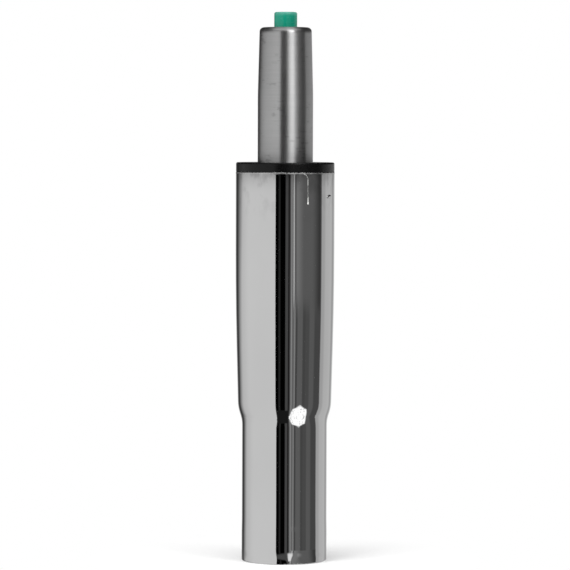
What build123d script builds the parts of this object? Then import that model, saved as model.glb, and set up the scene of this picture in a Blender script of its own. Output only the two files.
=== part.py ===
from build123d import *
from math import atan2, cos, degrees, radians, tan
import os

# Gas lift column of a swivel chair, standing on its lower rim with its axis on Z, at its lowest height.
# All sizes are in millimetres. Heights are measured up from the lower rim of the column tube.

# Fits
running_gap = 0.05  # radial, between a piece that slides or turns and what guides it
seat_gap = 0.02  # radial, between a fixed piece and the bore that holds it
lip_gap = 0.03  # radial, between a rubber lip and the steel that it wipes

# Column tube, swaged and chromed
column_diameter = 50.0
column_wall = 2.0
column_length = 197.2
column_rim_radius = 0.5
base_taper_length = 56.0
base_taper_blend_radius = 2000.0
taper_angle = 1.4378  # half angle of both tapers, 1 degree 26 minutes 16 seconds
shoulder_height = 6.6
shoulder_crest_radius = 20.0
shoulder_root_radius = 16.0
spigot_diameter = 43.0
spigot_length = 71.3
foot_swell = 0.11  # radial, where the base plate is pressed in
foot_swell_run = 6.0
foot_swell_radius = 200.0

# Guide sleeve, moulded with a flange that caps the column tube
flange_thickness = 4.7
flange_inset = 0.1
flange_edge_radius = 0.8
sleeve_depth = 86.0
sleeve_wall = 2.6
sleeve_collar_height = 12.0
sleeve_toe_height = 8.0
sleeve_land_height = 14.0
sleeve_relief = 0.4
sleeve_lead_in = 1.2
rib_count = 12
rib_thickness = 2.0

# Base plate, a pressed cup welded into the spigot
plate_recess = 6.3
plate_thickness = 3.0
plate_skirt_height = 5.5
plate_skirt_wall = 2.5
plate_bend_radius = 1.5

# Thrust ball bearing on the base plate
race_diameter = 24.0
race_thickness = 2.5
race_recess = 0.6
race_edge = 0.4
groove_depth = 0.8
ball_diameter = 4.0
ball_gap = 0.03
ball_count = 10
ball_circle_diameter = 17.2
cage_thickness = 1.6
cage_rim = 0.9
cage_pocket_gap = 0.1

# Piston rod and the ring clip under the base plate
rod_diameter = 10.0
rod_end_diameter = 8.0
rod_end_tail = 1.6
rod_end_chamfer = 0.6
tenon_diameter = 7.0
rivet_head_height = 1.8
rivet_head_spread = 1.6
clip_groove_diameter = 7.0
clip_diameter = 14.3
clip_thickness = 0.9
clip_side_play = 0.05
clip_opening = 6.2
clip_relief = 1.3
clip_lug_width = 2.4
clip_lug_angle = 62.0
race_rod_gap = 0.1  # radial, between the still race and the rod that turns in it
rod_washer_diameter = 18.0
rod_washer_thickness = 1.5
rod_washer_edge = 0.2
rod_end_play = 0.1

# Bump stop, a rubber buffer around the rod
bump_diameter = 22.0
bump_waist_diameter = 18.0
bump_height = 18.5
bump_land = 4.0
bump_edge = 1.0
bump_bore_gap = 0.2
bump_clearance = 0.2

# Pressure tube, with the seat taper drawn at its top and both ends rolled in
cylinder_diameter = 28.0
cylinder_wall = 1.5
cylinder_corner_radius = 2.2
seat_taper_length = 34.1
seat_taper_blend_radius = 150.0
lower_lip_bore = 16.0

# Rod guide and seal pack
backing_ring_thickness = 2.0
backing_ring_play = 0.4
inner_corner_relief = 1.2
rod_seal_height = 6.0
rod_seal_lip_height = 2.0
rod_seal_groove = 1.4
rod_guide_flange = 4.0
rod_guide_plug = 12.0
rod_guide_undercut = 1.5
gas_slot_count = 4
gas_slot_width = 3.0
gas_slot_depth = 2.2

# Cylinder liner, the inner tube in which the piston runs
liner_diameter = 23.0
liner_wall = 1.0

# Piston
stroke = 120.0
top_out_gap = 0.5
piston_height = 14.0
piston_land_height = 2.5
piston_seal_depth = 2.2
piston_washer_diameter = 17.0
piston_washer_thickness = 1.2
piston_valve_gap = 3.6  # left between the rivet head and the pressed valve pin

# Valve body and the seals on it
valve_plug_length = 10.0
valve_collar_height = 2.0
valve_neck_height = 7.0
valve_neck_diameter = 20.0
valve_land_height = 7.0
valve_cap_height = 5.0
valve_cap_wall = 2.0
valve_cap_diameter = 22.0
valve_taper_gap = 0.5
seal_ring_section = 2.4
seal_ring_depth = 1.8
seal_ring_edge = 0.5
valve_chamber_diameter = 8.0
gas_hole_diameter = 2.0

# Valve pin and what guides it
pin_diameter = 4.0
pin_neck_diameter = 2.6
pin_neck_length = 7.5
pin_neck_offset = 1.0
pin_head_diameter = 7.0
pin_head_height = 1.6
pin_head_gap = 0.1
valve_bush_length = 8.0
valve_bush_bore = 5.0
spacer_wall = 1.2

# Release button and its bush
button_diameter = 11.6
button_projection = 7.7
button_edge = 0.9
button_shank_length = 15.5
button_foot_diameter = 14.0
button_foot_height = 2.0
button_travel = 5.0
button_lip_gap = 0.3
bush_floor_clearance = 1.0

# Radii that follow from the sizes above
column_radius = column_diameter / 2
spigot_radius = spigot_diameter / 2
taper_slope = tan(radians(taper_angle))
taper_toe_radius = column_radius - base_taper_length * taper_slope
foot_radius = spigot_radius + foot_swell
cylinder_radius = cylinder_diameter / 2
cylinder_bore_radius = cylinder_radius - cylinder_wall
liner_radius = liner_diameter / 2
liner_bore_radius = liner_radius - liner_wall
rod_radius = rod_diameter / 2
rod_end_radius = rod_end_diameter / 2
ball_radius = ball_diameter / 2
ball_circle_radius = ball_circle_diameter / 2
clip_groove_radius = clip_groove_diameter / 2
tenon_radius = tenon_diameter / 2
pin_radius = pin_diameter / 2
valve_chamber_radius = valve_chamber_diameter / 2
button_radius = button_diameter / 2

# Outer radii of what is fitted in a bore
sleeve_bore_radius = cylinder_radius + running_gap
tube_fit_radius = cylinder_bore_radius - seat_gap
liner_fit_radius = liner_bore_radius - seat_gap
chamber_fit_radius = valve_chamber_radius - seat_gap
piston_radius = liner_bore_radius - running_gap

# Heights in the column
shoulder_top = spigot_length + shoulder_height
base_taper_top = shoulder_top + base_taper_length
flange_top = column_length + flange_thickness
sleeve_bottom = column_length - sleeve_depth

# Heights of the bearing stack, from the base plate up
plate_top = plate_recess + plate_thickness
foot_swell_bottom = plate_top + plate_skirt_height
lower_race_bottom = plate_top - race_recess
lower_race_top = lower_race_bottom + race_thickness
ball_height = lower_race_top - groove_depth + ball_gap + ball_radius
upper_race_bottom = ball_height + ball_radius + ball_gap - groove_depth
upper_race_top = upper_race_bottom + race_thickness
bump_top = upper_race_top + bump_height

# Heights of what hangs below the base plate
rod_washer_bottom = plate_recess - rod_end_play - rod_washer_thickness
clip_bottom = rod_washer_bottom - clip_side_play - clip_thickness
rod_end_bottom = clip_bottom - clip_side_play - rod_end_tail

# Heights in the pressure tube, from its lower lip up
cylinder_bottom = bump_top + bump_clearance
backing_ring_bottom = cylinder_bottom + cylinder_wall
rod_seal_bottom = backing_ring_bottom + backing_ring_thickness
rod_guide_bottom = rod_seal_bottom + rod_seal_height
liner_bottom = rod_guide_bottom + rod_guide_flange
rod_guide_top = liner_bottom + rod_guide_plug

# Heights on the piston, which stays still while the pressure tube rises by the stroke
piston_shoulder = rod_guide_top + stroke + top_out_gap
piston_bottom = piston_shoulder + piston_washer_thickness
piston_top = piston_bottom + piston_height
rivet_bottom = piston_top + piston_washer_thickness
rivet_top = rivet_bottom + rivet_head_height

# Heights in the valve, which keeps clear of the piston when the button is pressed
pin_bottom = rivet_top + piston_valve_gap + button_travel
pin_head_top = pin_bottom + pin_head_height
valve_bottom = pin_head_top + pin_head_gap
liner_top = valve_bottom + valve_plug_length
valve_neck_bottom = liner_top + valve_collar_height
valve_neck_top = valve_neck_bottom + valve_neck_height
valve_land_top = valve_neck_top + valve_land_height
valve_top = valve_land_top + valve_cap_height
gas_hole_height = (valve_neck_bottom + valve_neck_top) / 2
liner_ring_height = valve_bottom + valve_plug_length / 2
tube_ring_height = (valve_neck_top + valve_land_top) / 2
chamber_top = valve_top - valve_cap_wall
valve_bush_top = valve_bottom + valve_bush_length
spacer_bottom = valve_bush_top + seal_ring_section
spacer_top = chamber_top - seal_ring_section

# Heights at the top of the pressure tube, whose taper starts above the valve's seal land
seat_taper_bottom = valve_land_top + valve_taper_gap
cylinder_top = seat_taper_bottom + seat_taper_length
bush_top = cylinder_top - cylinder_wall
button_top = cylinder_top + button_projection
button_foot_top = cylinder_top - button_shank_length
button_bottom = button_foot_top - button_foot_height
bush_bottom = valve_top


def column_line(inset):
    """Corners of the column tube's side, from the foot up, that far inside its outer surface."""
    return [
        (foot_radius - inset, 0),
        (foot_radius - inset, foot_swell_bottom),
        (spigot_radius - inset, foot_swell_bottom + foot_swell_run),
        (spigot_radius - inset, spigot_length),
        (taper_toe_radius - inset, shoulder_top),
        (column_radius - inset, base_taper_top),
        (column_radius - inset, column_length),
    ]


column_corner_radii = [
    foot_swell_radius,
    foot_swell_radius,
    shoulder_root_radius,
    shoulder_crest_radius,
    base_taper_blend_radius,
]


def round_edge(builder, level, which):
    """One round edge of a part: level ranks it by height, and which ranks it by radius."""
    level_edges = builder.edges().filter_by(GeomType.CIRCLE).group_by(Axis.Z)[level]
    return level_edges.sort_by(SortBy.RADIUS)[which]


def turn(corners, mode=Mode.ADD):
    """Turns a closed outline, given as radius and height pairs, about Z in the part being made."""
    with BuildSketch(Plane.XZ) as outline:
        with BuildLine():
            Polyline(*corners, close=True)
        make_face()
    revolve(outline.sketch, axis=Axis.Z, mode=mode)


def ring(outer_radius, inner_radius, bottom, top, mode=Mode.ADD):
    """Turns a plain ring between two heights in the part being made."""
    corners = [(inner_radius, bottom), (outer_radius, bottom), (outer_radius, top), (inner_radius, top)]
    turn(corners, mode)


def cone_bore_radius(height):
    """Inner radius of the pressure tube at a height on its seat taper."""
    outer_radius = cylinder_radius - (height - seat_taper_bottom) * taper_slope
    return outer_radius - cylinder_wall / cos(radians(taper_angle))


# Column tube: one steel tube, tapered for the chair base and swaged down to a spigot below it
with BuildPart() as column_tube:
    with BuildSketch(Plane.XZ):
        with BuildLine():
            outer_corners = column_line(0)
            inner_corners = column_line(column_wall)
            FilletPolyline(*outer_corners, radius=column_corner_radii)
            FilletPolyline(*inner_corners, radius=column_corner_radii)
            Line(outer_corners[0], inner_corners[0])
            Line(outer_corners[-1], inner_corners[-1])
        make_face()
    revolve(axis=Axis.Z)
    for rim in (0, -1):
        fillet(round_edge(column_tube, rim, -1), column_rim_radius)

# Guide sleeve: its ribs follow the inside of the column tube, taper included
with BuildPart() as guide_sleeve:
    with BuildSketch(Plane.XZ):
        with BuildLine():
            rib_corners = column_line(column_wall + seat_gap)
            FilletPolyline(*rib_corners, radius=column_corner_radii)
            Polyline(rib_corners[-1], (0, column_length), (0, 0), rib_corners[0])
        make_face()
    revolve(axis=Axis.Z)
    split(bisect_by=Plane.XY.offset(sleeve_bottom), keep=Keep.TOP)
    relief_radius = sleeve_bore_radius + sleeve_relief
    sleeve_core_radius = relief_radius + sleeve_wall
    pocket_bottom = sleeve_bottom + sleeve_toe_height
    pocket_height = sleeve_depth - sleeve_toe_height - sleeve_collar_height
    rib_reach = column_radius - sleeve_core_radius
    with BuildSketch(Plane.XY.offset(pocket_bottom)):
        Circle(column_radius)
        Circle(sleeve_core_radius, mode=Mode.SUBTRACT)
        with PolarLocations(sleeve_core_radius + rib_reach / 2, rib_count):
            Rectangle(rib_reach + sleeve_wall, rib_thickness, mode=Mode.SUBTRACT)
    extrude(amount=pocket_height, mode=Mode.SUBTRACT)
    flange_radius = column_radius - flange_inset
    with BuildSketch(Plane.XY.offset(column_length)):
        Circle(flange_radius)
    extrude(amount=flange_thickness)
    fillet(round_edge(guide_sleeve, -1, -1), flange_edge_radius)
    ring(sleeve_bore_radius, 0, sleeve_bottom, flange_top, Mode.SUBTRACT)
    relief_bottom = sleeve_bottom + sleeve_land_height
    relief_top = flange_top - sleeve_land_height
    ring(relief_radius, 0, relief_bottom, relief_top, Mode.SUBTRACT)
    chamfer(round_edge(guide_sleeve, -1, 0), sleeve_lead_in)

# Base plate: closes the spigot and carries the thrust bearing
with BuildPart() as base_plate:
    plate_radius = foot_radius - column_wall - seat_gap
    skirt_inner_radius = plate_radius - plate_skirt_wall
    with BuildSketch(Plane.XY.offset(plate_recess)):
        Circle(plate_radius)
    extrude(amount=plate_thickness + plate_skirt_height)
    ring(skirt_inner_radius, 0, plate_top, plate_top + plate_skirt_height, Mode.SUBTRACT)
    fillet(round_edge(base_plate, 0, -1), plate_bend_radius)
    ring(race_diameter / 2 + seat_gap, 0, lower_race_bottom, plate_top, Mode.SUBTRACT)
    ring(rod_end_radius + running_gap, 0, plate_recess, plate_top, Mode.SUBTRACT)

# Bearing races: two hardened rings with a ball groove each
with BuildPart() as lower_race:
    ring(race_diameter / 2, rod_end_radius + race_rod_gap, lower_race_bottom, lower_race_top)
    chamfer(lower_race.edges().filter_by(GeomType.CIRCLE).sort_by(SortBy.RADIUS)[-2:], race_edge)
    with BuildSketch(Plane.XZ):
        with Locations((ball_circle_radius, ball_height)):
            Circle(ball_radius + ball_gap)
    revolve(axis=Axis.Z, mode=Mode.SUBTRACT)

with BuildPart() as upper_race:
    ring(race_diameter / 2, rod_end_radius + seat_gap, upper_race_bottom, upper_race_top)
    chamfer(upper_race.edges().filter_by(GeomType.CIRCLE).sort_by(SortBy.RADIUS)[-2:], race_edge)
    with BuildSketch(Plane.XZ):
        with Locations((ball_circle_radius, ball_height)):
            Circle(ball_radius + ball_gap)
    revolve(axis=Axis.Z, mode=Mode.SUBTRACT)

# Ball cage and its balls
with BuildPart() as ball_cage:
    pocket_radius = ball_radius + cage_pocket_gap
    with BuildSketch(Plane.XY.offset(ball_height - cage_thickness / 2)):
        Circle(ball_circle_radius + pocket_radius + cage_rim)
        Circle(ball_circle_radius - pocket_radius - cage_rim, mode=Mode.SUBTRACT)
        with PolarLocations(ball_circle_radius, ball_count):
            Circle(pocket_radius, mode=Mode.SUBTRACT)
    extrude(amount=cage_thickness)

with BuildPart() as bearing_balls:
    with Locations((0, 0, ball_height)):
        with PolarLocations(ball_circle_radius, ball_count):
            Sphere(ball_radius)

# Piston rod: stands on the upper race, with its thin end through the base plate and a rivet head on top
with BuildPart() as piston_rod:
    groove_bottom = clip_bottom - clip_side_play
    groove_top = rod_washer_bottom
    turn(
        [
            (0, rod_end_bottom),
            (rod_end_radius - rod_end_chamfer, rod_end_bottom),
            (rod_end_radius, rod_end_bottom + rod_end_chamfer),
            (rod_end_radius, groove_bottom),
            (clip_groove_radius, groove_bottom),
            (clip_groove_radius, groove_top),
            (rod_end_radius, groove_top),
            (rod_end_radius, upper_race_top),
            (rod_radius, upper_race_top),
            (rod_radius, piston_shoulder),
            (tenon_radius, piston_shoulder),
            (tenon_radius, rivet_bottom),
            (tenon_radius + rivet_head_spread, rivet_bottom),
            (tenon_radius, rivet_top),
            (0, rivet_top),
        ]
    )

# Washer and open ring clip that hold the rod in the base plate
with BuildPart() as rod_washer:
    ring(
        rod_washer_diameter / 2,
        rod_end_radius + running_gap,
        rod_washer_bottom,
        rod_washer_bottom + rod_washer_thickness,
    )
    chamfer(rod_washer.edges().filter_by(GeomType.CIRCLE).sort_by(SortBy.RADIUS)[-2:], rod_washer_edge)

with BuildPart() as rod_clip:
    clip_radius = clip_diameter / 2
    clip_seat_radius = clip_groove_radius + seat_gap
    clip_relief_radius = clip_seat_radius + clip_relief
    with BuildSketch(Plane.XY.offset(clip_bottom)):
        Circle(clip_radius)
        Circle(clip_relief_radius, mode=Mode.SUBTRACT)
        for lug_angle in (-clip_lug_angle, clip_lug_angle, 180):
            with PolarLocations(clip_relief_radius, 1, start_angle=lug_angle):
                Rectangle(2 * clip_relief, clip_lug_width)
        Circle(clip_seat_radius, mode=Mode.SUBTRACT)
        with Locations((clip_radius / 2, 0)):
            Rectangle(clip_radius, clip_opening, mode=Mode.SUBTRACT)
    extrude(amount=clip_thickness)

# Bump stop: a waisted rubber buffer on which the pressure tube lands
with BuildPart() as bump_stop:
    bump_radius = bump_diameter / 2
    bump_waist_radius = bump_waist_diameter / 2
    bump_bore_radius = rod_radius + bump_bore_gap
    bump_middle = (upper_race_top + bump_top) / 2
    with BuildSketch(Plane.XZ):
        with BuildLine():
            Polyline(
                (bump_radius, upper_race_top + bump_land),
                (bump_radius, upper_race_top),
                (bump_bore_radius, upper_race_top),
                (bump_bore_radius, bump_top),
                (bump_radius - bump_edge, bump_top),
                (bump_radius, bump_top - bump_edge),
                (bump_radius, bump_top - bump_land),
            )
            ThreePointArc(
                (bump_radius, bump_top - bump_land),
                (bump_waist_radius, bump_middle),
                (bump_radius, upper_race_top + bump_land),
            )
        make_face()
    revolve(axis=Axis.Z)

# Pressure tube: drawn steel tube, both ends rolled in over the parts inside it
with BuildPart() as pressure_tube:
    button_hole_radius = button_radius + button_lip_gap
    cone_top_radius = cylinder_radius - seat_taper_length * taper_slope
    with BuildSketch(Plane.XZ):
        with BuildLine():
            FilletPolyline(
                (lower_lip_bore / 2, cylinder_bottom),
                (cylinder_radius, cylinder_bottom),
                (cylinder_radius, seat_taper_bottom),
                (cone_top_radius, cylinder_top),
                (button_hole_radius, cylinder_top),
                radius=[cylinder_corner_radius, seat_taper_blend_radius, cylinder_corner_radius],
            )
            offset(amount=cylinder_wall, side=Side.LEFT)
        make_face()
    revolve(axis=Axis.Z)

# Rod guide pack: backing ring, lip seal and guide
with BuildPart() as backing_ring:
    ring(tube_fit_radius, rod_radius + backing_ring_play, backing_ring_bottom, rod_seal_bottom)
    chamfer(round_edge(backing_ring, 0, -1), inner_corner_relief)

with BuildPart() as rod_seal:
    seal_body_radius = rod_radius + rod_seal_groove
    turn(
        [
            (rod_radius + lip_gap, rod_seal_bottom),
            (tube_fit_radius, rod_seal_bottom),
            (tube_fit_radius, rod_guide_bottom),
            (seal_body_radius + rod_seal_groove, rod_guide_bottom),
            (seal_body_radius, rod_seal_bottom + rod_seal_lip_height),
            (rod_radius + lip_gap, rod_guide_bottom),
        ]
    )

with BuildPart() as rod_guide:
    guide_bore_radius = rod_radius + running_gap
    turn(
        [
            (guide_bore_radius, rod_guide_bottom),
            (tube_fit_radius, rod_guide_bottom),
            (tube_fit_radius, liner_bottom),
            (liner_fit_radius, liner_bottom),
            (liner_fit_radius, rod_guide_top - rod_guide_undercut),
            (liner_fit_radius - rod_guide_undercut, rod_guide_top),
            (guide_bore_radius + rod_guide_undercut, rod_guide_top),
            (guide_bore_radius, rod_guide_top - rod_guide_undercut),
        ]
    )
    slot_depth = gas_slot_depth + tube_fit_radius - liner_fit_radius
    with BuildSketch(Plane.XY.offset(liner_bottom - gas_slot_depth / 2)):
        with PolarLocations(tube_fit_radius - slot_depth / 2, gas_slot_count):
            Rectangle(slot_depth, gas_slot_width)
    extrude(amount=rod_guide_plug + gas_slot_depth, mode=Mode.SUBTRACT)

# Cylinder liner: the piston runs in it, and gas passes outside it from one end to the other
with BuildPart() as cylinder_liner:
    ring(liner_radius, liner_bore_radius, liner_bottom, liner_top)

# Piston: riveted on the rod between two washers, with a seal ring in its groove
with BuildPart() as piston:
    seal_groove_radius = piston_radius - piston_seal_depth
    seal_groove_bottom = piston_bottom + piston_land_height
    seal_groove_top = piston_top - 2 * piston_land_height
    ring(piston_radius, tenon_radius + seat_gap, piston_bottom, piston_top)
    ring(piston_radius, seal_groove_radius, seal_groove_bottom, seal_groove_top, Mode.SUBTRACT)

with BuildPart() as piston_seal:
    seal_waist_radius = piston_radius - piston_seal_depth / 2
    seal_third = (seal_groove_top - seal_groove_bottom) / 3
    turn(
        [
            (seal_groove_radius + seat_gap, seal_groove_bottom),
            (liner_bore_radius - lip_gap, seal_groove_bottom),
            (liner_bore_radius - lip_gap, seal_groove_bottom + seal_third),
            (seal_waist_radius, seal_groove_bottom + 1.5 * seal_third),
            (liner_bore_radius - lip_gap, seal_groove_top - seal_third),
            (liner_bore_radius - lip_gap, seal_groove_top),
            (seal_groove_radius + seat_gap, seal_groove_top),
        ]
    )

with BuildPart() as piston_washers:
    for washer_bottom in (piston_shoulder, piston_top):
        ring(
            piston_washer_diameter / 2,
            tenon_radius + seat_gap,
            washer_bottom,
            washer_bottom + piston_washer_thickness,
        )

# Valve body: plugs the liner, seals against the pressure tube, and holds the valve pin
with BuildPart() as valve_body:
    neck_radius = valve_neck_diameter / 2
    ring_groove_half = seal_ring_section / 2
    turn(
        [
            (0, valve_bottom),
            (liner_fit_radius, valve_bottom),
            (liner_fit_radius, liner_top),
            (liner_radius, liner_top),
            (liner_radius, valve_neck_bottom),
            (neck_radius, valve_neck_bottom),
            (neck_radius, valve_neck_top),
            (tube_fit_radius, valve_neck_top),
            (tube_fit_radius, valve_land_top),
            (valve_cap_diameter / 2, valve_land_top),
            (valve_cap_diameter / 2, valve_top),
            (0, valve_top),
        ]
    )
    for ring_height, bore_radius in (
        (liner_ring_height, liner_bore_radius),
        (tube_ring_height, cylinder_bore_radius),
    ):
        ring(
            bore_radius,
            bore_radius - seal_ring_depth,
            ring_height - ring_groove_half,
            ring_height + ring_groove_half,
            Mode.SUBTRACT,
        )
    ring(valve_chamber_radius, 0, valve_bottom, chamber_top, Mode.SUBTRACT)
    ring(pin_radius + running_gap, 0, chamber_top, valve_top, Mode.SUBTRACT)
    for gas_hole_plane in (Plane.XZ, Plane.YZ):
        with BuildSketch(gas_hole_plane):
            with Locations((0, gas_hole_height)):
                Circle(gas_hole_diameter / 2)
        extrude(amount=neck_radius, both=True, mode=Mode.SUBTRACT)

# Seal rings on the valve body, one in the liner and one in the pressure tube
with BuildPart() as valve_body_seals:
    for ring_height, bore_radius in (
        (liner_ring_height, liner_bore_radius),
        (tube_ring_height, cylinder_bore_radius),
    ):
        ring(
            bore_radius - seat_gap / 2,
            bore_radius - seal_ring_depth,
            ring_height - ring_groove_half,
            ring_height + ring_groove_half,
        )
    chamfer(valve_body_seals.edges().filter_by(GeomType.CIRCLE), seal_ring_edge)

# Inside the valve body's chamber: bush, lower seal, spacer, upper seal
with BuildPart() as valve_bush:
    ring(chamber_fit_radius, valve_bush_bore / 2, valve_bottom, valve_bush_top)

with BuildPart() as valve_spacer:
    ring(chamber_fit_radius, chamber_fit_radius - spacer_wall, spacer_bottom, spacer_top)
    for gas_hole_plane in (Plane.XZ, Plane.YZ):
        with BuildSketch(gas_hole_plane):
            with Locations((0, gas_hole_height)):
                Circle(gas_hole_diameter / 2)
        extrude(amount=valve_chamber_radius, both=True, mode=Mode.SUBTRACT)

with BuildPart() as pin_seals:
    for seal_bottom in (valve_bush_top, spacer_top):
        ring(chamber_fit_radius, pin_radius + lip_gap, seal_bottom, seal_bottom + seal_ring_section)
    chamfer(pin_seals.edges().filter_by(GeomType.CIRCLE), seal_ring_edge)

# Valve pin: its thin neck bridges the lower seal when the button is pressed, and lets the gas across
with BuildPart() as valve_pin:
    neck_bottom = spacer_bottom + pin_neck_offset
    neck_top = neck_bottom + pin_neck_length
    neck_cone = pin_radius - pin_neck_diameter / 2
    turn(
        [
            (0, pin_bottom),
            (pin_head_diameter / 2, pin_bottom),
            (pin_head_diameter / 2, pin_head_top),
            (pin_radius, pin_head_top),
            (pin_radius, neck_bottom),
            (pin_neck_diameter / 2, neck_bottom + neck_cone),
            (pin_neck_diameter / 2, neck_top - neck_cone),
            (pin_radius, neck_top),
            (pin_radius, button_bottom),
            (0, button_bottom),
        ]
    )

# Button bush: fills the seat taper's inside and guides the release button
with BuildPart() as button_bush:
    bush_corner_radius = cone_bore_radius(bush_top) - seat_gap
    turn(
        [
            (button_radius + running_gap, bush_bottom),
            (cone_bore_radius(bush_bottom) - seat_gap, bush_bottom),
            (cone_bore_radius(bush_top - inner_corner_relief) - seat_gap, bush_top - inner_corner_relief),
            (bush_corner_radius - inner_corner_relief, bush_top),
            (button_radius + running_gap, bush_top),
        ]
    )
    foot_room_bottom = button_bottom - button_travel - bush_floor_clearance
    ring(button_foot_diameter / 2 + running_gap, 0, foot_room_bottom, button_foot_top, Mode.SUBTRACT)

# Release button: its foot keeps it under the rolled lip
with BuildPart() as release_button:
    turn(
        [
            (0, button_bottom),
            (button_foot_diameter / 2, button_bottom),
            (button_foot_diameter / 2, button_foot_top),
            (button_radius, button_foot_top),
            (button_radius, button_top),
            (0, button_top),
        ]
    )
    fillet(release_button.edges().filter_by(GeomType.CIRCLE).group_by(Axis.Z)[-1], button_edge)

pieces = {
    "column_tube": column_tube,
    "guide_sleeve": guide_sleeve,
    "base_plate": base_plate,
    "lower_race": lower_race,
    "upper_race": upper_race,
    "ball_cage": ball_cage,
    "bearing_balls": bearing_balls,
    "piston_rod": piston_rod,
    "rod_washer": rod_washer,
    "rod_clip": rod_clip,
    "bump_stop": bump_stop,
    "pressure_tube": pressure_tube,
    "backing_ring": backing_ring,
    "rod_seal": rod_seal,
    "rod_guide": rod_guide,
    "cylinder_liner": cylinder_liner,
    "piston": piston,
    "piston_seal": piston_seal,
    "piston_washers": piston_washers,
    "valve_body": valve_body,
    "valve_body_seals": valve_body_seals,
    "valve_bush": valve_bush,
    "valve_spacer": valve_spacer,
    "pin_seals": pin_seals,
    "valve_pin": valve_pin,
    "button_bush": button_bush,
    "release_button": release_button,
}

os.makedirs("parts", exist_ok=True)
for name, builder in pieces.items():
    builder.part.label = name
    export_step(builder.part, f"parts/{name}.step")
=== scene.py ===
from math import cos, pi, radians, sin

import bmesh
import bpy
from mathutils import Matrix, Vector


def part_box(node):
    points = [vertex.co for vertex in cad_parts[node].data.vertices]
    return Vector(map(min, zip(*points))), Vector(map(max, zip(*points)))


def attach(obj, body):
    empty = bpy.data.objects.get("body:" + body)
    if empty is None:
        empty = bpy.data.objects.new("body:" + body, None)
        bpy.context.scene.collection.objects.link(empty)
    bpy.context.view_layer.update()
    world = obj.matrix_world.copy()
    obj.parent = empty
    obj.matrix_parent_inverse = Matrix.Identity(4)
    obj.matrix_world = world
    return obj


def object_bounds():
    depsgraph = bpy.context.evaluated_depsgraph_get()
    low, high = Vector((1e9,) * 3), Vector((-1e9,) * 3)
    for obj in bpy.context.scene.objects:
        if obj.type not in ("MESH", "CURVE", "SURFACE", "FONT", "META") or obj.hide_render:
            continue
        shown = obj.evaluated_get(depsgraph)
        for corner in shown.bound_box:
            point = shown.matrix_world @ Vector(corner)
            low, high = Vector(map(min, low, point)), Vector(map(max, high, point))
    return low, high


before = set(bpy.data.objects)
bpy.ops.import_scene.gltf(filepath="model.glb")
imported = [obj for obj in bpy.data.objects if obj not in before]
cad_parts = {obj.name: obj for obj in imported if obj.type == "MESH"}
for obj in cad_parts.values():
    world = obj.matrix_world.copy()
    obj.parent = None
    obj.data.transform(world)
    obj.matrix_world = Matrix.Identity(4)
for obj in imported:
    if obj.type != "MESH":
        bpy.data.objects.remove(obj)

cad_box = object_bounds()

# Column tube
# One steel tube, swaged down at its lower end, polished to a faint waviness and plated with bright
# chrome, so it mirrors the room. Below the ring it has stains, and painted shade darkens it towards the
# ring. Its rim is duller.


def new_finish(name, colour, metallic, roughness):
    """Starts a finish as one shader with its mean colour and gloss, for patterns to join."""
    finish = bpy.data.materials.new(name)
    finish.use_nodes = True
    shader = finish.node_tree.nodes["Principled BSDF"]
    shader.inputs["Base Color"].default_value = (*colour, 1)
    shader.inputs["Metallic"].default_value = metallic
    shader.inputs["Roughness"].default_value = roughness
    return finish


def add_node(finish, kind, **values):
    """Adds a node to a finish and fills in the inputs that are named."""
    node = finish.node_tree.nodes.new(kind)
    for name, value in values.items():
        node.inputs[name.replace("_", " ")].default_value = value
    return node


def join(finish, output, node, name):
    """Joins an output to one named input of a node."""
    finish.node_tree.links.new(output, node.inputs[name])


def cloud(finish, cycles, detail=2.0):
    """A soft random pattern with so many cycles in a metre along X, Y and Z."""
    place = add_node(finish, "ShaderNodeTexCoord")
    spread = add_node(finish, "ShaderNodeMapping", Scale=cycles)
    noise = add_node(finish, "ShaderNodeTexNoise", Scale=1.0, Detail=detail)
    join(finish, place.outputs["Object"], spread, "Vector")
    join(finish, spread.outputs["Vector"], noise, "Vector")
    return noise.outputs["Fac"]


def remap(finish, pattern, low, high, start=0.3, end=0.7):
    """Turns a pattern's values from start to end into values from low to high."""
    ramp = add_node(finish, "ShaderNodeMapRange", From_Min=start, From_Max=end, To_Min=low, To_Max=high)
    join(finish, pattern, ramp, "Value")
    return ramp.outputs["Result"]


def calculate(finish, operation, first, second=0.0):
    """One step of arithmetic in a finish, on outputs or plain numbers."""
    step = add_node(finish, "ShaderNodeMath")
    step.operation = operation
    for index, value in enumerate((first, second)):
        if isinstance(value, (int, float)):
            step.inputs[index].default_value = value
        else:
            join(finish, value, step, index)
    return step.outputs["Value"]


def height(finish, start, end):
    """Goes from 0 to 1 between two heights in metres."""
    place = add_node(finish, "ShaderNodeTexCoord")
    axes = add_node(finish, "ShaderNodeSeparateXYZ")
    join(finish, place.outputs["Object"], axes, "Vector")
    return remap(finish, axes.outputs["Z"], 0, 1, start, end)


def tint(finish, pattern, dark, light, start=0.3, end=0.7):
    """Lets the colour drift between a dark and a light one."""
    blend = add_node(finish, "ShaderNodeMix")
    blend.data_type = "RGBA"
    blend.inputs[6].default_value = (*dark, 1)
    blend.inputs[7].default_value = (*light, 1)
    join(finish, remap(finish, pattern, 0, 1, start, end), blend, "Factor")
    join(finish, blend.outputs[2], finish.node_tree.nodes["Principled BSDF"], "Base Color")


def gloss(finish, pattern, smooth, rough, start=0.3, end=0.7):
    """Lets the roughness drift between two values."""
    drift = remap(finish, pattern, smooth, rough, start, end)
    join(finish, drift, finish.node_tree.nodes["Principled BSDF"], "Roughness")


def relief(finish, pattern, depth):
    """Raises the surface by a pattern, with its depth in metres."""
    bump = add_node(finish, "ShaderNodeBump", Strength=1.0, Distance=depth)
    join(finish, pattern, bump, "Height")
    join(finish, bump.outputs["Normal"], finish.node_tree.nodes["Principled BSDF"], "Normal")


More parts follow.
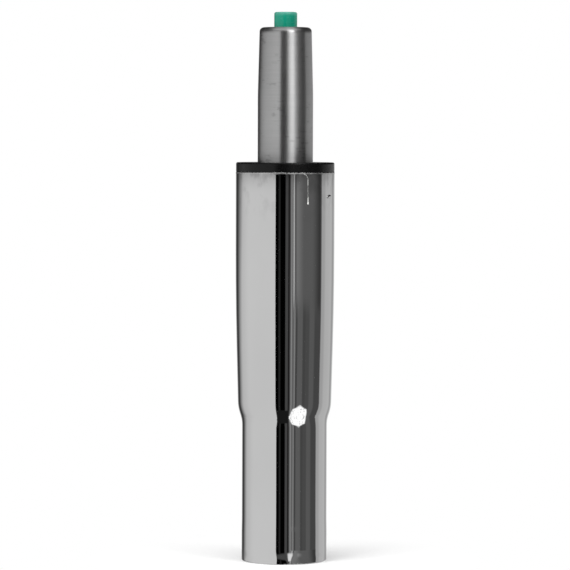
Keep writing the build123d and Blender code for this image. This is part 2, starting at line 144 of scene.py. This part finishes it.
def dress(node_name, finish):
    """Gives a finish to a piece."""
    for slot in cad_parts[node_name].material_slots:
        slot.material = finish


column_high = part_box("column_tube")[1]
column_top = column_high.z
polish_wave = 0.000035
handled_depth = 0.026
ring_shade_depth = 0.012
ring_shade_strength = 0.6
ring_shade_start = 0.001
unshaded_rim = 0.0006
dull_rim = 0.0013
foot_flare_height = 0.0076
foot_flare = 0.00055

# A light haze, stains from hands near the top, and painted shade that darkens the tube under the ring
chrome = new_finish("bright_chrome", (0.54, 0.54, 0.54), metallic=1, roughness=0.03)
haze = remap(chrome, cloud(chrome, (30, 30, 14), detail=3), low=0.9, high=1)
handled = height(chrome, column_top - handled_depth, column_top)
smears = remap(chrome, cloud(chrome, (210, 210, 120), detail=4), low=0, high=0.4, start=0.47, end=0.66)
stains = calculate(chrome, "MULTIPLY", smears, handled)
# Painted shade: the colour darkens towards the ring, but not on the top 0.6 mm of the rim
below_rim = height(chrome, column_top - unshaded_rim, column_top - ring_shade_start)
ring_shade = calculate(chrome, "POWER", height(chrome, column_top - ring_shade_depth, column_top), 2)
ring_shade = calculate(chrome, "MULTIPLY", ring_shade, ring_shade_strength)
ring_shade = calculate(chrome, "MULTIPLY", ring_shade, below_rim)
shade = calculate(chrome, "SUBTRACT", calculate(chrome, "SUBTRACT", haze, stains), ring_shade)
tint(chrome, shade, dark=(0.24, 0.24, 0.24), light=(0.555, 0.555, 0.555), start=0, end=1)

# Smudges in the gloss, and the duller rim
smudges = remap(chrome, cloud(chrome, (260, 260, 90), detail=4), low=0, high=0.11)
on_rim = height(chrome, column_top - dull_rim, column_top - dull_rim / 2)
gloss(chrome, calculate(chrome, "ADD", smudges, on_rim), smooth=0.02, rough=0.38, start=0, end=1)

# The waviness, and the foot's slight and uneven flare, which bends the reflections there
uneven = remap(chrome, cloud(chrome, (85, 85, 60), detail=2), low=0.7, high=1.3)
flare = height(chrome, foot_flare_height, 0)
flare.node.interpolation_type = "SMOOTHSTEP"
flare = calculate(chrome, "MULTIPLY", flare, uneven)
flare = calculate(chrome, "MULTIPLY", flare, foot_flare / polish_wave)
relief(chrome, calculate(chrome, "ADD", cloud(chrome, (110, 110, 16), detail=1), flare), polish_wave)
dress("column_tube", chrome)

# Weld seam
# A bead of weld runs round the inside of the foot and holds the base plate in the column tube.
# It cooled in overlapping ripples, and its heat burnt the zinc there to a darker tone.

seam_radius = 0.0009
seam_sides = 10
seam_inset = 0.7 * seam_radius
seam_drop = 0.1 * seam_radius
seam_ripples = 96
seam_ripple_height = 0.00012
seam_steps = 4 * seam_ripples


def new_piece(name, mesh, finish, body):
    """Makes an object of a mesh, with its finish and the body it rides."""
    data = bpy.data.meshes.new(name)
    mesh.to_mesh(data)
    mesh.free()
    data.materials.append(finish)
    data.polygons.foreach_set("use_smooth", [True] * len(data.polygons))
    piece = bpy.data.objects.new(name, data)
    bpy.context.collection.objects.link(piece)
    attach(piece, body)


plate_low, plate_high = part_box("base_plate")
seam_circle_radius = plate_high.x - seam_inset
seam_height = plate_low.z - seam_drop
seam = bmesh.new()
bmesh.ops.create_circle(
    seam,
    segments=seam_sides,
    radius=seam_radius,
    matrix=Matrix.Translation((seam_circle_radius, 0, seam_height)) @ Matrix.Rotation(pi / 2, 4, "X"),
)
bmesh.ops.spin(
    seam,
    geom=seam.verts[:] + seam.edges[:],
    axis=(0, 0, 1),
    cent=(0, 0, 0),
    steps=seam_steps,
    angle=2 * pi,
    use_merge=True,
)
for vertex in seam.verts:
    outward = Vector((vertex.co.x, vertex.co.y, 0))
    turned = outward.to_2d().angle_signed(Vector((1, 0)), 0)
    core = outward.normalized() * seam_circle_radius
    core.z = seam_height
    ripple = 0.5 + 0.5 * cos(turned * seam_ripples)
    vertex.co += (vertex.co - core).normalized() * (ripple - 1) * seam_ripple_height
bmesh.ops.recalc_face_normals(seam, faces=seam.faces[:])

weld_metal = new_finish("weld_metal", (0.22, 0.21, 0.2), metallic=1, roughness=0.4)
weld_cloud = cloud(weld_metal, (300, 300, 300), detail=3)
tint(weld_metal, weld_cloud, dark=(0.12, 0.11, 0.1), light=(0.34, 0.33, 0.31))
gloss(weld_metal, cloud(weld_metal, (900, 900, 900)), smooth=0.3, rough=0.55)
new_piece("weld_seam", seam, weld_metal, "column")

# Base plate and the other zinc plated pieces
# A pressed steel cup closes the foot. The washers and the backing ring are punched from sheet.
# Their zinc plating dulls to a cloudy grey.

zinc = new_finish("dull_zinc", (0.5, 0.5, 0.49), metallic=1, roughness=0.35)
tint(zinc, cloud(zinc, (220, 220, 220), detail=4), dark=(0.4, 0.4, 0.4), light=(0.56, 0.56, 0.54))
gloss(zinc, cloud(zinc, (600, 600, 600), detail=3), smooth=0.28, rough=0.48)
relief(zinc, cloud(zinc, (1500, 1500, 1500), detail=2), depth=0.00001)
for zinc_node in ("base_plate", "rod_washer", "backing_ring", "piston_washers"):
    dress(zinc_node, zinc)

# Thrust bearing: two races, a cage and ten balls
# The races are hardened steel, turned and then ground, so fine rings run round them.
# The balls are polished, and the cage is natural nylon.


def rings(finish, pitch):
    """A pattern of fine rings round the axis, as a lathe or a grinder leaves them."""
    place = add_node(finish, "ShaderNodeTexCoord")
    flatten = add_node(finish, "ShaderNodeVectorMath")
    flatten.operation = "MULTIPLY"
    flatten.inputs[1].default_value = (1, 1, 0)
    radius = add_node(finish, "ShaderNodeVectorMath")
    radius.operation = "LENGTH"
    axes = add_node(finish, "ShaderNodeSeparateXYZ")
    pair = add_node(finish, "ShaderNodeCombineXYZ")
    noise = add_node(finish, "ShaderNodeTexNoise", Scale=1 / pitch, Detail=3.0)
    join(finish, place.outputs["Object"], flatten, 0)
    join(finish, flatten.outputs["Vector"], radius, 0)
    join(finish, place.outputs["Object"], axes, "Vector")
    join(finish, radius.outputs["Value"], pair, "X")
    join(finish, axes.outputs["Z"], pair, "Y")
    join(finish, pair.outputs["Vector"], noise, "Vector")
    return noise.outputs["Fac"]


def turned_metal(name, dark, light, smooth, rough, pitch, depth):
    """A metal with fine turning rings in its colour, gloss and relief."""
    middle = [(low + high) / 2 for low, high in zip(dark, light)]
    finish = new_finish(name, middle, metallic=1, roughness=(smooth + rough) / 2)
    marks = rings(finish, pitch)
    tint(finish, marks, dark, light)
    gloss(finish, marks, smooth, rough)
    relief(finish, marks, depth)
    return finish


race_steel = turned_metal(
    "race_steel",
    dark=(0.36, 0.37, 0.38),
    light=(0.44, 0.45, 0.46),
    smooth=0.12,
    rough=0.22,
    pitch=0.00012,
    depth=0.000002,
)
dress("lower_race", race_steel)
dress("upper_race", race_steel)

ball_steel = new_finish("ball_steel", (0.6, 0.61, 0.62), metallic=1, roughness=0.06)
gloss(ball_steel, cloud(ball_steel, (700, 700, 700)), smooth=0.04, rough=0.1)
dress("bearing_balls", ball_steel)

nylon = new_finish("natural_nylon", (0.6, 0.55, 0.42), metallic=0, roughness=0.4)
tint(nylon, cloud(nylon, (160, 160, 160), detail=3), dark=(0.55, 0.5, 0.37), light=(0.66, 0.62, 0.5))
relief(nylon, cloud(nylon, (2500, 2500, 2500)), depth=0.00001)
dress("ball_cage", nylon)

# Piston rod and its ring clip
# The rod is hard chromed and ground. The clip is stamped spring steel with a dark phosphate coat, and
# snaps into the rod's groove under the washer.

rod_chrome = turned_metal(
    "hard_chrome",
    dark=(0.5, 0.51, 0.52),
    light=(0.56, 0.57, 0.58),
    smooth=0.08,
    rough=0.14,
    pitch=0.00008,
    depth=0.000001,
)
dress("piston_rod", rod_chrome)

phosphate = new_finish("phosphate", (0.07, 0.07, 0.075), metallic=1, roughness=0.5)
phosphate_cloud = cloud(phosphate, (900, 900, 900), detail=4)
tint(phosphate, phosphate_cloud, dark=(0.045, 0.045, 0.05), light=(0.12, 0.12, 0.125))
gloss(phosphate, cloud(phosphate, (500, 500, 500)), smooth=0.4, rough=0.6)
dress("rod_clip", phosphate)

# Bump stop and seals
# The buffer is moulded black rubber with a matt skin, and is pushed over the rod.
# The seals are smoother nitrile rubber, wet with oil.


def rubber(name, dark, light, smooth, rough, grain):
    """A black rubber with a grain of so many cycles in a metre."""
    finish = new_finish(name, light, metallic=0, roughness=(smooth + rough) / 2)
    tint(finish, cloud(finish, (grain / 8,) * 3, detail=3), dark, light)
    gloss(finish, cloud(finish, (grain / 3,) * 3), smooth, rough)
    relief(finish, cloud(finish, (grain,) * 3), depth=0.00001)
    return finish


buffer_rubber = rubber(
    "buffer_rubber",
    dark=(0.008, 0.008, 0.008),
    light=(0.016, 0.016, 0.016),
    smooth=0.6,
    rough=0.8,
    grain=2400,
)
dress("bump_stop", buffer_rubber)

seal_rubber = rubber(
    "seal_rubber",
    dark=(0.006, 0.006, 0.006),
    light=(0.012, 0.012, 0.012),
    smooth=0.25,
    rough=0.4,
    grain=4000,
)
for seal_node in ("rod_seal", "piston_seal", "valve_body_seals", "pin_seals"):
    dress(seal_node, seal_rubber)

# Rod guide, piston and liner
# The guide and the piston are cast zinc with a grainy grey skin. The rod's rivet head holds the piston,
# which slides in the liner of drawn steel, lightly oiled.

cast_zinc = new_finish("cast_zinc", (0.36, 0.37, 0.39), metallic=1, roughness=0.45)
tint(cast_zinc, cloud(cast_zinc, (500, 500, 500), detail=4), dark=(0.3, 0.31, 0.33), light=(0.42, 0.43, 0.45))
relief(cast_zinc, cloud(cast_zinc, (3000, 3000, 3000)), depth=0.00002)
dress("rod_guide", cast_zinc)
dress("piston", cast_zinc)

drawn_steel = new_finish("drawn_steel", (0.44, 0.44, 0.43), metallic=1, roughness=0.25)
gloss(drawn_steel, cloud(drawn_steel, (3000, 3000, 30)), smooth=0.18, rough=0.32)
tint(drawn_steel, cloud(drawn_steel, (2000, 2000, 20)), dark=(0.4, 0.4, 0.39), light=(0.48, 0.48, 0.47))
dress("cylinder_liner", drawn_steel)

# Guide sleeve
# Moulded in black acetal and pressed into the column tube. Its flange is the ring on top of the tube,
# and shows the mould's fine grain, with a slight polish in places from handling.

acetal = new_finish("black_acetal", (0.0018, 0.0018, 0.0019), metallic=0, roughness=0.34)
acetal.node_tree.nodes["Principled BSDF"].inputs["Specular IOR Level"].default_value = 0.2
acetal_cloud = cloud(acetal, (400, 400, 400), detail=3)
tint(acetal, acetal_cloud, dark=(0.0014, 0.0014, 0.0015), light=(0.0024, 0.0024, 0.0025))
gloss(acetal, cloud(acetal, (900, 900, 900), detail=3), smooth=0.2, rough=0.34)
relief(acetal, cloud(acetal, (2600, 2600, 2600), detail=2), depth=0.000012)
dress("guide_sleeve", acetal)

# Pressure tube
# Steel tube, centreless ground: fine lines run round it and stretch every reflection up and down, and a
# few scratches cross them. The taper at its top was ground in the same pass. Its end is rolled in.

tube_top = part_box("pressure_tube")[1].z
grind_depth = 0.000001
rolled_height = 0.0034
rolled_depth = 0.0013
rolled_polish = 0.12

tube_steel = new_finish("ground_steel", (0.42, 0.42, 0.42), metallic=1, roughness=0.4)
tube_shader = tube_steel.node_tree.nodes["Principled BSDF"]
tube_shader.inputs["Anisotropic"].default_value = 0.92
tube_shader.inputs["Anisotropic Rotation"].default_value = 0.25
grinding_direction = add_node(tube_steel, "ShaderNodeTangent")
grinding_direction.direction_type = "RADIAL"
grinding_direction.axis = "Z"
join(tube_steel, grinding_direction.outputs["Tangent"], tube_shader, "Tangent")

# Ground lines in the tint, with patches of scratches across them
ground_lines = cloud(tube_steel, (40, 40, 1400), detail=2)
scratched = remap(tube_steel, cloud(tube_steel, (80, 80, 80)), low=0, high=1, start=0.53, end=0.62)
scratches = cloud(tube_steel, (220, 220, 900), detail=4)
scratches = remap(tube_steel, scratches, low=0, high=1.3, start=0.55, end=0.7)
scratches = calculate(tube_steel, "MULTIPLY", scratches, scratched)
tube_shade = calculate(tube_steel, "SUBTRACT", remap(tube_steel, ground_lines, low=0.78, high=1), scratches)
tint(tube_steel, tube_shade, dark=(0.32, 0.32, 0.32), light=(0.44, 0.44, 0.44), start=0, end=1)

# The rolled-in end, which is smoother and leans inwards
rolled = height(tube_steel, tube_top - rolled_height, tube_top)
polished_end = remap(tube_steel, rolled, low=0, high=rolled_polish, start=0, end=0.3)
tube_grain = remap(tube_steel, cloud(tube_steel, (60, 60, 60), detail=3), low=0.82, high=1)
tube_grain = calculate(tube_steel, "SUBTRACT", tube_grain, polished_end)
gloss(tube_steel, tube_grain, smooth=0.1, rough=0.39, start=0, end=1)
rolled_in = calculate(tube_steel, "POWER", rolled, 2)
rolled_in = calculate(tube_steel, "MULTIPLY", rolled_in, -rolled_depth / grind_depth)
relief(tube_steel, calculate(tube_steel, "ADD", ground_lines, rolled_in), grind_depth)
dress("pressure_tube", tube_steel)

# Valve: body, bush, spacer and pin
# The body is turned aluminium and sits in the top of the pressure tube, with a bush and a spacer of
# turned brass inside it. The pin that slides through them is ground stainless steel.

aluminium = turned_metal(
    "turned_aluminium",
    dark=(0.6, 0.61, 0.62),
    light=(0.7, 0.71, 0.72),
    smooth=0.2,
    rough=0.34,
    pitch=0.0002,
    depth=0.000004,
)
dress("valve_body", aluminium)

brass = turned_metal(
    "turned_brass",
    dark=(0.55, 0.38, 0.14),
    light=(0.68, 0.5, 0.2),
    smooth=0.16,
    rough=0.3,
    pitch=0.0002,
    depth=0.000004,
)
dress("valve_bush", brass)
dress("valve_spacer", brass)

stainless = turned_metal(
    "ground_stainless",
    dark=(0.48, 0.48, 0.48),
    light=(0.56, 0.56, 0.56),
    smooth=0.12,
    rough=0.2,
    pitch=0.0001,
    depth=0.000001,
)
dress("valve_pin", stainless)

# Release button and its bush
# The button is moulded in teal green plastic with a soft gloss, and the lever presses it from above.
# Its upper edge has a painted highlight, a paler colour laid over it. The bush round it is dark grey nylon.

button_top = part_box("release_button")[1].z
edge_highlight_height = 0.0022
edge_highlight_fade = 1.3
face_height = 0.0004
face_share = 0.25


def lay_colour(finish, mask, colour):
    """Lays another colour over the tint of a finish, where the mask is 1."""
    shader = finish.node_tree.nodes["Principled BSDF"]
    blend = add_node(finish, "ShaderNodeMix")
    blend.data_type = "RGBA"
    blend.inputs[7].default_value = (*colour, 1)
    join(finish, shader.inputs["Base Color"].links[0].from_socket, blend, 6)
    join(finish, mask, blend, "Factor")
    join(finish, blend.outputs[2], shader, "Base Color")


green_plastic = new_finish("green_plastic", (0.003, 0.24, 0.155), metallic=0, roughness=0.38)
green_plastic.node_tree.nodes["Principled BSDF"].inputs["Specular IOR Level"].default_value = 0.4
green_cloud = cloud(green_plastic, (140, 140, 140), detail=3)
tint(green_plastic, green_cloud, dark=(0.002, 0.22, 0.14), light=(0.005, 0.26, 0.17))
# Painted highlight: a paler colour over the upper edge, fading down from the top
edge_highlight = height(green_plastic, button_top - edge_highlight_height, button_top)
edge_highlight = calculate(green_plastic, "POWER", edge_highlight, edge_highlight_fade)
below_face = height(green_plastic, button_top, button_top - face_height)
on_edge = remap(green_plastic, below_face, low=face_share, high=1, start=0, end=1)
lay_colour(green_plastic, calculate(green_plastic, "MULTIPLY", edge_highlight, on_edge), (0.1, 0.31, 0.25))
gloss(green_plastic, cloud(green_plastic, (700, 700, 700), detail=3), smooth=0.2, rough=0.3)
relief(green_plastic, cloud(green_plastic, (900, 900, 900), detail=2), depth=0.000015)
dress("release_button", green_plastic)

grey_nylon = new_finish("grey_nylon", (0.012, 0.012, 0.013), metallic=0, roughness=0.45)
grey_cloud = cloud(grey_nylon, (500, 500, 500), detail=3)
tint(grey_nylon, grey_cloud, dark=(0.01, 0.01, 0.011), light=(0.018, 0.018, 0.02))
gloss(grey_nylon, cloud(grey_nylon, (800, 800, 800)), smooth=0.38, rough=0.52)
dress("button_bush", grey_nylon)

# Grease
# Some of the sleeve's pale grease has squeezed out under the flange. It ran down the tube and set as a
# drop, with a few smears beside its start.

grease_turn = 27.0
grease_depth = 0.00012
drop_height = column_top - 0.0154
drop_depth = 0.0003
smear_half_height = 0.00008

grease = new_finish("pale_grease", (0.7, 0.7, 0.68), metallic=0, roughness=0.16)
tint(grease, cloud(grease, (1500, 1500, 700), detail=2), dark=(0.5, 0.5, 0.48), light=(0.8, 0.8, 0.78))
gloss(grease, cloud(grease, (2000, 2000, 2000), detail=2), smooth=0.1, rough=0.25)


def press_blob(mesh, turned, place_height, wide, tall, deep=grease_depth, lean=0.0):
    """Presses an oval blob on the tube, so many degrees to the right of its front, by its half sizes."""
    outward = Matrix.Translation((0, -column_high.x, place_height))
    stretch = Matrix.Diagonal((wide, deep, tall, 1))
    around = Matrix.Rotation(radians(turned), 4, "Z")
    placed = around @ outward @ Matrix.Rotation(radians(lean), 4, "Y") @ stretch
    bmesh.ops.create_uvsphere(mesh, u_segments=16, v_segments=24, radius=1, matrix=placed)


grease_mesh = bmesh.new()
for aside, above_drop, wide, tall, deep in (
    (0, 0.0104, 0.0001, 0.0023, grease_depth),
    (0, 0.006, 0.00003, 0.006, grease_depth),
    (0.2, 0.0012, 0.00024, 0.0021, grease_depth),
    (0.2, 0, 0.00046, 0.0007, drop_depth),
):
    press_blob(grease_mesh, grease_turn + aside, drop_height + above_drop, wide, tall, deep)
for turned, below_top, wide, lean in (
    (20.4, 0.0003, 0.0006, 15),
    (22.3, 0.0007, 0.0004, 60),
    (23.2, 0.0011, 0.0005, 20),
    (25.0, 0.0016, 0.0005, 55),
    (26.2, 0.0024, 0.0004, 75),
    (30.5, 0.0008, 0.0005, 10),
):
    press_blob(grease_mesh, turned, column_top - below_top, wide, smear_half_height, lean=lean)
new_piece("grease_run", grease_mesh, grease, "column")

# Plating nodule
# A small lump of chrome, half a millimetre high, that grew on the tube while it was plated.
# It mirrors the room in miniature.

nodule_turn = 61.8
nodule_height = column_top - 0.0124

nodule_mesh = bmesh.new()
press_blob(nodule_mesh, nodule_turn, nodule_height, wide=0.0021, tall=0.001, deep=0.0005, lean=-8)
new_piece("plating_nodule", nodule_mesh, chrome, "column")

# Floor
# A pale table. It keeps the shadow of the column's foot, and fades into the white room further out.
# What is polished doesn't mirror it, because the studio's lower lamp shines from below its level.

floor_radius = 8.0
floor_fade_start = 0.022
floor_fade_end = 0.1

floor_mesh = bmesh.new()
bmesh.ops.create_circle(floor_mesh, cap_ends=True, segments=96, radius=floor_radius)
floor_data = bpy.data.meshes.new("floor")
floor_mesh.to_mesh(floor_data)
floor_mesh.free()
floor = bpy.data.objects.new("floor", floor_data)
bpy.context.collection.objects.link(floor)
floor.visible_glossy = False

table_top = new_finish("table_top", (0.95, 0.95, 0.95), metallic=0, roughness=0.9)
floor_data.materials.append(table_top)
table_place = add_node(table_top, "ShaderNodeTexCoord")
table_distance = add_node(table_top, "ShaderNodeVectorMath")
table_distance.operation = "LENGTH"
join(table_top, table_place.outputs["Object"], table_distance, 0)
table_fade = remap(table_top, table_distance.outputs["Value"], 0, 1, floor_fade_start, floor_fade_end)
table_ray = add_node(table_top, "ShaderNodeLightPath")
table_seen = calculate(table_top, "MULTIPLY", table_fade, table_ray.outputs["Is Camera Ray"])
white_room = add_node(table_top, "ShaderNodeEmission", Color=(1, 1, 1, 1), Strength=1.0)
table_mix = add_node(table_top, "ShaderNodeMixShader")
join(table_top, table_seen, table_mix, 0)
join(table_top, table_top.node_tree.nodes["Principled BSDF"].outputs["BSDF"], table_mix, 1)
join(table_top, white_room.outputs["Emission"], table_mix, 2)
join(table_top, table_mix.outputs["Shader"], table_top.node_tree.nodes["Material Output"], "Surface")

# Lamps
# Three large soft lamps, in front and overhead, at a plain level. They give the form and the shadow.
# They don't show on what is polished, which mirrors the lamps of the room instead.


def soft_lamp(name, place, size, power):
    """A square soft lamp that points at the middle of the column."""
    data = bpy.data.lights.new(name, "AREA")
    data.size = size
    data.energy = power
    lamp = bpy.data.objects.new(name, data)
    bpy.context.collection.objects.link(lamp)
    lamp.location = place
    aim = Vector((0, 0, cad_box[1][2] / 2)) - Vector(place)
    lamp.rotation_euler = aim.to_track_quat("-Z", "Y").to_euler()
    lamp.visible_glossy = False


soft_lamp("front_left_lamp", place=(-0.9, -1.0, 1.1), size=0.8, power=12.0)
soft_lamp("front_right_lamp", place=(1.0, -0.9, 0.9), size=0.6, power=8.0)
soft_lamp("top_lamp", place=(-0.1, -0.3, 1.5), size=0.8, power=9.0)

# Room
# What the polished tube mirrors, in degrees of turn round it, from 0 in front and growing to the right,
# and of lift above the horizon. The eye sees it white, and dull surfaces get an even light from it.

diffuse_level = 0.52
studio_level = 0.05
flag_left, flag_right = -22.2, 1.2
flag_foot, flag_top = -24, 2
wall_foot = -66
left_wall_rise = 36
right_wall_top = 5
furniture_top = -4.6
lamp_side_share = 0.92

room = bpy.data.worlds.new("room")
room.use_nodes = True
room.cycles.sampling_method = "NONE"
bpy.context.scene.world = room
room_out = room.node_tree.nodes["Background"]

direction = add_node(room, "ShaderNodeTexCoord")
axes = add_node(room, "ShaderNodeSeparateXYZ")
join(room, direction.outputs["Generated"], axes, "Vector")
away = calculate(room, "MULTIPLY", axes.outputs["Y"], -1.0)
turn = calculate(room, "DEGREES", calculate(room, "ARCTAN2", axes.outputs["X"], away))
lift = calculate(room, "DEGREES", calculate(room, "ARCSINE", axes.outputs["Z"]))


def rise(value, centre, edge):
    """Goes from 0 to 1 as a value passes a centre, over an edge of that half width."""
    step = add_node(room, "ShaderNodeMapRange", From_Min=centre - edge, From_Max=centre + edge)
    step.interpolation_type = "SMOOTHSTEP"
    join(room, value, step, "Value")
    return step.outputs["Result"]


def lay_over(under, level, mask):
    """Puts one level over what is there already, where the mask is 1."""
    keep = calculate(room, "MULTIPLY", under, calculate(room, "SUBTRACT", 1.0, mask))
    return calculate(room, "ADD", keep, calculate(room, "MULTIPLY", mask, level))


def upright(under, start, end, level, start_edge, end_edge, within):
    """A wall, flag or lamp between two turns round the column, seen where the last mask is 1."""
    across = calculate(room, "SUBTRACT", rise(turn, start, start_edge), rise(turn, end, end_edge))
    return lay_over(under, level, calculate(room, "MULTIPLY", across, within))


def offset(angle, centre, half):
    """How far an angle lies from a lamp's centre, as a share of its half size."""
    share = calculate(room, "DIVIDE", calculate(room, "SUBTRACT", angle, centre), half)
    return calculate(room, "ABSOLUTE", share)


def reach(across, along, slant):
    """How far two shares reach together along a slanted line, which gives one side of a lamp."""
    across_part = calculate(room, "MULTIPLY", across, cos(slant))
    return calculate(room, "ADD", across_part, calculate(room, "MULTIPLY", along, sin(slant)))


def soft_box(under, turn_centre, turn_half, lift_centre, lift_half, level, edge):
    """An eight-sided soft lamp in one direction, with a corner on top."""
    across = offset(turn, turn_centre, turn_half)
    along = offset(lift, lift_centre, lift_half)
    spread = calculate(room, "MAXIMUM", reach(across, along, pi / 8), reach(across, along, 3 * pi / 8))
    return lay_over(under, level, calculate(room, "SUBTRACT", 1.0, rise(spread, lamp_side_share, edge)))


def wall_height(top):
    """A mask from the foot of a wall to its top."""
    above = rise(calculate(room, "SUBTRACT", lift, top), centre=0, edge=6)
    return calculate(room, "SUBTRACT", rise(lift, wall_foot, edge=4), above)


everywhere = 1.0
left_wall = wall_height(remap(room, turn, low=0, high=left_wall_rise, start=-125, end=-30))
right_wall = wall_height(right_wall_top)
above_furniture = rise(lift, furniture_top, edge=0.5)
above_flag_foot = rise(lift, flag_foot, edge=2)
flag_height = calculate(room, "SUBTRACT", above_flag_foot, rise(lift, flag_top, edge=1.5))
under_flag = calculate(room, "SUBTRACT", 1.0, above_flag_foot)
upper_half = rise(lift, centre=3, edge=3)
ceiling = rise(lift, centre=34, edge=8)
overhead = rise(lift, centre=58, edge=12)
underfoot = calculate(room, "SUBTRACT", 1.0, rise(lift, centre=-71, edge=4))

creases = add_node(room, "ShaderNodeTexNoise", Scale=16.0, Detail=3.0)
join(room, direction.outputs["Generated"], creases, "Vector")
lamp_cloth = remap(room, creases.outputs["Fac"], low=0.6, high=1.9, start=0.33, end=0.43)

view = studio_level
for start, end, level, start_edge, end_edge, within in (
    (-70, 70, 0.15, 10, 10, ceiling),                           # ceiling in front
    (93.5, 190, 0.74, 2.5, 1, right_wall),                      # pale wall on the right
    (93, 108, 0.6, 2, 5, right_wall),                           # its near end
    (143, 158, 0.46, 7, 7, right_wall),                         # a door in it
    (-190, -165.5, 0.72, 1, 14, right_wall),                    # the same wall, behind the column
    (-134, flag_left, 0.8, 15, 0.5, left_wall),                 # white wall on the left, its far end first
    (-110, flag_left, 0.975, 20, 0.5, left_wall),
    (flag_left, flag_right, 0.03, 0.5, 0.5, everywhere),        # what shows round the flag
    (flag_left, flag_right, 0.1, 0.5, 0.5, upper_half),
    (flag_left, flag_right, 0.001, 0.5, 0.5, flag_height),      # black flag beside the camera
    (-15, -10.8, 0.03, 1, 1, flag_height),                      # slit in the flag
    (flag_right, 95, 0.1, 1, 2, everywhere),                    # dark half of the room
    (flag_left, 9, 0.017, 0.5, 0.5, under_flag),                # what shows below the flag
    (7.6, 11, 0.02, 1, 1, everywhere),                          # dark strip beside the window
    (13, 25.6, 0.22, 0.5, 0.5, everywhere),                     # window with its two bright strips
    (14.7, 17.1, 0.43, 0.5, 0.5, everywhere),
    (22.4, 24.8, 0.38, 0.5, 0.5, everywhere),
    (30.2, 43.5, 0.18, 1, 2, everywhere),                       # low furniture in the dark half
    (50.5, 61, 0.115, 1, 1, everywhere),
    (61, 75, 0.165, 2, 3, everywhere),
    (18.8, 26.8, 0.16, 0.5, 0.5, above_furniture),              # what shows above the furniture
    (18.8, 24, 0.26, 0.5, 0.8, above_furniture),
    (20.1, 22.1, 0.91, 0.5, 0.5, above_furniture),
    (26.8, 92, 0.17, 0.8, 2, above_furniture),
    (26.8, 38, 0.28, 0.8, 9, above_furniture),
    (78, 92, 0.06, 14, 2, above_furniture),
):
    view = upright(view, start, end, level, start_edge, end_edge, within)

# The lower soft lamp, which the shoulder mirrors
view = soft_box(
    view,
    turn_centre=39.3,
    turn_half=26,
    lift_centre=-39.5,
    lift_half=28,
    level=lamp_cloth,
    edge=0.07,
)

# The upper part of the window, a dimmer strip to its right and the upper soft lamp
view = upright(view, start=9, end=24, level=1.2, start_edge=3, end_edge=3, within=upper_half)
view = upright(view, start=36, end=50, level=0.5, start_edge=4, end_edge=4, within=upper_half)
view = soft_box(
    view,
    turn_centre=31,
    turn_half=14,
    lift_centre=48,
    lift_half=36,
    level=4.3,
    edge=0.22,
)

# The bright ceiling overhead, and the pale ground round the column
view = lay_over(view, level=1.1, mask=overhead)
view = lay_over(view, level=0.75, mask=underfoot)

ray = add_node(room, "ShaderNodeLightPath")
mirrored = calculate(room, "MAXIMUM", ray.outputs["Is Glossy Ray"], ray.outputs["Is Transmission Ray"])
lit = calculate(room, "MULTIPLY", calculate(room, "SUBTRACT", 1.0, mirrored), diffuse_level)
shown = calculate(room, "ADD", lit, calculate(room, "MULTIPLY", mirrored, view))
shown = calculate(room, "MAXIMUM", shown, ray.outputs["Is Camera Ray"])
join(room, shown, room_out, "Color")

# Camera
# A long lens from the front, a little above the middle. It is tipped down slightly, and rolled by the
# little that the column leans in the picture.

camera_distance = 1.666
camera_height = 0.2201
camera_side = 0.00005
camera_pitch = radians(-2.76)
camera_roll = radians(0.18)

camera_data = bpy.data.cameras.new("camera")
camera_data.lens = 207.9
camera_data.sensor_width = 36
camera = bpy.data.objects.new("camera", camera_data)
bpy.context.collection.objects.link(camera)
camera.matrix_world = (
    Matrix.Translation((camera_side, -camera_distance, camera_height))
    @ Matrix.Rotation(pi / 2 + camera_pitch, 4, "X")
    @ Matrix.Rotation(camera_roll, 4, "Z")
)
bpy.context.scene.camera = camera
bpy.context.scene.view_settings.view_transform = "Standard"
